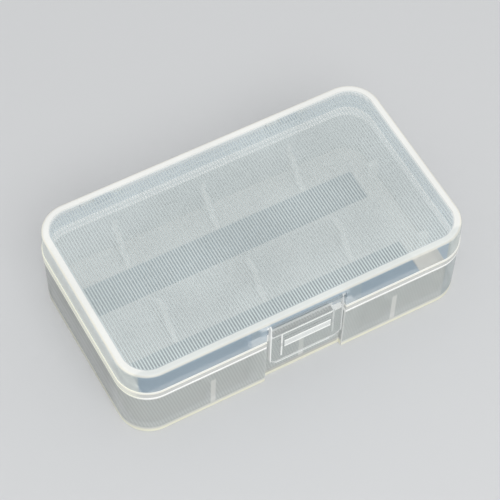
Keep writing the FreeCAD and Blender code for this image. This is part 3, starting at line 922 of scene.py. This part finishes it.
@dataclass(frozen=True)
class EdgeBead:
    """Small round edge that follows a path over a moulding."""

    name: str
    body: Body
    slot: Slot
    path: tuple[Vector, ...]
    radius: float

    @staticmethod
    def make_tree() -> NodeTree:
        """Build the geometry nodes that carry a round section along a path.

        Returns:
            The tree, with a named input for the bead's radius and finish.
        """
        inputs = dict.fromkeys(("Geometry", "Radius", "Finish"))
        graph, start, result = new_group("Geometry", "edge_bead", inputs, ("Geometry",))
        path, radius, finish = (start.outputs[label] for label in inputs)
        line = graph.node("GeometryNodeMeshToCurve", {0: path}).outputs[0]
        bead = carry_round(graph, line, BEAD_SIDES, radius)
        graph.feed(result.inputs[0], finished(graph, bead, finish))
        return graph.tree

    def build(self, tree: NodeTree, material: Material) -> Object:
        """Carry the bead along its path and put it on its body.

        Args:
            tree: The shared geometry nodes.
            material: The bead's finish.

        Returns:
            The finished piece.
        """
        mesh = bpy.data.meshes.new(self.name)
        mesh.from_pydata(self.path, [(i, i + 1) for i in range(len(self.path) - 1)], [])
        piece = put_in_scene(self.name, mesh)
        apply_tree(piece, tree, {"Radius": self.radius, "Finish": material})
        for face in piece.data.polygons:
            face.use_smooth = True
        return settle(piece, self.body)


def apply_tree(piece: Object, tree: NodeTree, values: dict[str, object]) -> None:
    """Run geometry nodes on a piece and keep the result as its plain mesh.

    Args:
        piece: The piece.
        tree: The geometry nodes.
        values: The tree's inputs by name.
    """
    modifier = piece.modifiers.new(tree.name, "NODES")
    modifier.node_group = tree
    for item in tree.interface.items_tree:
        if item.in_out == "INPUT" and item.name in values:
            modifier[item.identifier] = values[item.name]
    made = piece.evaluated_get(bpy.context.evaluated_depsgraph_get())
    mesh = bpy.data.meshes.new_from_object(made)
    mesh.name = piece.name
    piece.modifiers.clear()
    piece.data = mesh


def settle(piece: Object, body: Body) -> Object:
    """Put a finished piece on its body.

    Args:
        piece: The piece.
        body: The body it rides on.

    Returns:
        The same piece.
    """
    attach(piece, body.value)
    LOG.info("%s: %d faces on %s", piece.name, len(piece.data.polygons), body.value)
    return piece


@dataclass(frozen=True)
class Outline:
    """Round-cornered outline of a moulding, seen from above."""

    half_length: float
    half_width: float
    radius: float

    def path(self, inset: float, level: float, gap: float) -> tuple[Vector, ...]:
        """Follow the outline from one side of a gap at its front to the other.

        Args:
            inset: How far inside the outline the path runs.
            level: Its height.
            gap: Half the gap's width.

        Returns:
            The path's points.
        """
        sizes = (self.half_length, self.half_width, self.radius)
        half_length, half_width, radius = (size - inset for size in sizes)
        points = [Vector((gap, -half_width, level))]
        for turn, (side_x, side_y) in enumerate(((1, -1), (1, 1), (-1, 1), (-1, -1))):
            centre = Vector((side_x * (half_length - radius), side_y * (half_width - radius), level))
            for step in range(CORNER_STEPS + 1):
                angle = math.radians(90 * (turn - 1 + step / CORNER_STEPS))
                points.append(centre + radius * Vector((math.cos(angle), math.sin(angle), 0.0)))
        points.append(Vector((-gap, -half_width, level)))
        return tuple(points)


@dataclass(frozen=True)
class FlapOutline:
    """Outline of the latch's flap, seen from the front."""

    half_width: float = 8.16 * MM
    foot: float = 6.9 * MM
    top: float = 19.6 * MM
    bend: float = 1.8 * MM
    front: float = -22.76 * MM
    steps: int = 10

    def path(self) -> tuple[Vector, ...]:
        """Follow the outline from one shoulder round the foot to the other.

        Returns:
            The path's points.
        """
        points = [Vector((-self.half_width, self.front, self.top))]
        for side, start in ((-1, 180), (1, 270)):
            centre = Vector((side * (self.half_width - self.bend), self.front, self.foot + self.bend))
            for step in range(self.steps + 1):
                angle = math.radians(start + 90 * step / self.steps)
                points.append(centre + self.bend * Vector((math.cos(angle), 0.0, math.sin(angle))))
        points.append(Vector((self.half_width, self.front, self.top)))
        return tuple(points)


@dataclass
class Case:
    """The case itself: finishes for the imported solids, and the fine lines and edges moulded on them."""

    nodes: dict[str, Object]
    shop: Workshop
    panel_level: float = 21.8 * MM
    floor_level: float = 1.9 * MM
    catch_level: float = 14.4 * MM
    floor_half_length: float = 33.5 * MM
    lid_outline: Outline = Outline(39.2 * MM, 22.9 * MM, 7.2 * MM)
    lid_seam_level: float = 16.05 * MM
    lid_seam_radius: float = 0.15 * MM
    tray_outline: Outline = Outline(39.0 * MM, 22.7 * MM, 7.0 * MM)
    tray_seam_level: float = 14.05 * MM
    tray_seam_radius: float = 0.24 * MM
    tray_seam_inset: float = 0.06 * MM
    seam_gap: float = 9.1 * MM
    tongue_outline: Outline = Outline(37.5 * MM, 21.2 * MM, 5.38 * MM)
    tongue_top: float = 16.1 * MM
    tongue_radius: float = 0.12 * MM
    tongue_gap: float = 34 * MM
    tongue_cut: int = 7
    recess_half: float = 9.12 * MM
    recess_y: Fade = fade(-22.2, -22.5)
    recess_z: Fade = fade(0.5, 14.2)
    recess_radius: float = 0.2 * MM
    latch_outline: FlapOutline = FlapOutline()
    latch_radius: float = 0.16 * MM

    def dress(self) -> None:
        """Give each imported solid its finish."""
        wire = PinFinish().make(self.shop)
        finishes = {
            "base_tray": TrayFinish().make(self.shop),
            "hinged_lid": LidFinish().make(self.shop),
            "front_latch": LatchFinish().make(self.shop),
            "hinge_pin_left": wire,
            "hinge_pin_right": wire,
        }
        for name, material in finishes.items():
            node = self.nodes[name]
            for index in range(len(node.data.materials)):
                node.data.materials[index] = material
            LOG.info("%s: finished as %s", name, material.name)

    def add_ridges(self) -> None:
        """Lay the fine lines over the lid's panel, the tray's floor and the catch's top."""
        tree = RidgeField.make_tree()
        # the lid's lines carry painted light towards the front
        lid_lines = RidgeFinish("lid_ridge_plastic", (0.54, 0.60, 0.605), 0.97, front=1.12).make(self.shop)
        floor_lines = RidgeFinish("floor_ridge_plastic", (0.56, 0.57, 0.55), 0.9).make(self.shop)
        front_lines = RidgeFinish("front_floor_ridge_plastic", (0.46, 0.48, 0.47), 0.95).make(self.shop)
        RidgeField(
            "lid_panel_ridges", Body.LID, Slot.LID, self.panel_level,
            half_length=37.1 * MM, half_width=20.8 * MM, corner_radius=5.1 * MM,
        ).build(tree, lid_lines)
        strips = (
            ("middle", 0.0, 6.3 * MM, floor_lines),
            ("front", -17.1 * MM, 2.6 * MM, front_lines),
            ("back", 17.4 * MM, 2.9 * MM, floor_lines),
        )
        for label, centre, half_width, material in strips:
            RidgeField(
                f"tray_floor_ridges_{label}", Body.BASE, Slot.TRAY, self.floor_level,
                half_length=self.floor_half_length, half_width=half_width, centre_y=centre,
            ).build(tree, material)
        RidgeField(
            "catch_lip_ridges", Body.BASE, Slot.TRAY, self.catch_level,
            half_length=6.2 * MM, half_width=0.4 * MM, centre_y=-20.6 * MM,
        ).build(tree, floor_lines)

    def add_edges(self) -> None:
        """Round the edges that gather the light: the seam, the tongue, the recess and the latch; their pale
        finishes are painted highlights.
        """
        tree = EdgeBead.make_tree()
        # painted highlight colours: cream at the left end, and the latch outline's highlight weaker on the
        # right
        cream = (0.97, 0.98, 0.84)
        pale, seam, clear, soft = (finish.make(self.shop) for finish in (
            RidgeFinish("pale_highlight_plastic", (0.98, 0.98, 0.96), 1.0, roughness=0.12, left=cream),
            RidgeFinish("seam_highlight_plastic", (0.84, 0.85, 0.82), 1.0, roughness=0.25, left=cream),
            RidgeFinish("clear_highlight_plastic", (0.90, 0.91, 0.90), 0.6, roughness=0.1, fading=0.35),
            RidgeFinish("recess_highlight_plastic", (0.78, 0.79, 0.77), 0.75, roughness=0.2),
        ))
        path = self.lid_outline.path(self.lid_seam_radius, self.lid_seam_level, self.seam_gap)
        EdgeBead("lid_seam_edge", Body.LID, Slot.LID, path, self.lid_seam_radius).build(tree, seam)
        path = self.tray_outline.path(self.tray_seam_inset, self.tray_seam_level, self.seam_gap)
        EdgeBead("tray_seam_edge", Body.BASE, Slot.TRAY, path, self.tray_seam_radius).build(tree, pale)
        radius = self.tongue_radius
        path = self.tongue_outline.path(-radius, self.tongue_top - radius, self.tongue_gap)
        path = path[self.tongue_cut:-self.tongue_cut]
        EdgeBead("tongue_edge", Body.BASE, Slot.TRAY, path, radius).build(tree, pale)
        for label, side in (("left", -1), ("right", 1)):
            path = tuple(Vector((side * self.recess_half, y, z)) for y, z in zip(self.recess_y, self.recess_z))
            EdgeBead(f"recess_edge_{label}", Body.BASE, Slot.TRAY, path, self.recess_radius).build(tree, soft)
        path = self.latch_outline.path()
        EdgeBead("latch_outline", Body.LATCH, Slot.LATCH, path, self.latch_radius).build(tree, clear)


@dataclass
class Studio:
    """Plain pale floor, soft light and the camera."""

    azimuth: float = -30.011
    elevation: float = 55.927
    roll: float = 1.481
    target: tuple[float, float, float] = (4.02 * MM, 7.54 * MM, 0.0)
    distance: float = 448.4 * MM
    focal_pixels: float = 2106.748
    frame_pixels: float = 500.0
    sensor: float = 36.0
    clip: tuple[float, float] = (0.01, 20.0)
    floor_half: float = 3.0
    floor_colour: Colour = (0.62, 0.63, 0.64)
    floor_paler: float = 1.02
    floor_cloud: float = 4.0
    floor_roughness: float = 0.9
    sky: float = 0.74
    lamp_power: float = 2.6
    lamp_size: float = 0.5
    lamp_place: tuple[float, float, float] = (-0.08, -0.50, 0.60)

    def add_camera(self) -> None:
        """Stand the camera where the object is seen from above its front left corner."""
        turn, rise = math.radians(self.azimuth), math.radians(self.elevation)
        back = Vector((math.sin(turn) * math.cos(rise), -math.cos(turn) * math.cos(rise), math.sin(rise)))
        right = (-back).cross(Vector((0.0, 0.0, 1.0))).normalized()
        up = back.cross(right)
        lean = math.radians(self.roll)
        across = right * math.cos(lean) + up * math.sin(lean)
        upwards = up * math.cos(lean) - right * math.sin(lean)
        data = bpy.data.cameras.new("camera")
        data.sensor_width = self.sensor
        data.lens = self.focal_pixels / self.frame_pixels * self.sensor
        data.clip_start, data.clip_end = self.clip
        camera = put_in_scene("camera", data)
        axes = Matrix((across, upwards, back)).transposed().to_4x4()
        camera.matrix_world = Matrix.Translation(Vector(self.target) + back * self.distance) @ axes
        bpy.context.scene.camera = camera

    def add_floor(self, shop: Workshop) -> None:
        """Lay the floor under the object.

        Args:
            shop: The shared groups.
        """
        half = self.floor_half
        mesh = bpy.data.meshes.new("floor")
        points = [(-half, -half, 0.0), (half, -half, 0.0), (half, half, 0.0), (-half, half, 0.0)]
        mesh.from_pydata(points, [], [(0, 1, 2, 3)])
        floor = put_in_scene("floor", mesh)
        material, graph, shader = shop.start("floor_card")
        grain = graph.place(shop.grain, Cloud_Scale=self.floor_cloud)
        paler = scaled(self.floor_colour, self.floor_paler)
        colour = graph.blend(grain.outputs["Cloud"], self.floor_colour, paler)
        graph.feed(shader.inputs["Base Color"], colour)
        shader.inputs["Roughness"].default_value = self.floor_roughness
        mesh.materials.append(material)

    def add_light(self) -> None:
        """Light the object softly from all round, and a little more from above."""
        world = bpy.data.worlds.new("studio")
        bpy.context.scene.world = world
        world.use_nodes = True
        world.node_tree.nodes["Background"].inputs["Color"].default_value = (1.0, 1.0, 1.0, 1.0)
        world.node_tree.nodes["Background"].inputs["Strength"].default_value = self.sky
        data = bpy.data.lights.new("softbox", "AREA")
        data.shape = "DISK"
        data.size = self.lamp_size
        data.energy = self.lamp_power
        lamp = put_in_scene("softbox", data)
        lamp.location = self.lamp_place
        lamp.rotation_euler = (-lamp.location).to_track_quat("-Z", "Y").to_euler()
        bpy.context.scene.view_settings.view_transform = "Standard"
        bpy.context.scene.cycles.transparent_max_bounces = CLEAR_LAYERS


def main() -> None:
    """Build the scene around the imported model."""
    logging.basicConfig(level=logging.INFO, format="%(message)s")
    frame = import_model()
    studio = Studio()
    studio.add_camera()
    shop = Workshop()
    case = Case(frame["nodes"], shop)
    case.dress()
    case.add_ridges()
    case.add_edges()
    studio.add_floor(shop)
    studio.add_light()


if __name__ == "__main__":
    main()
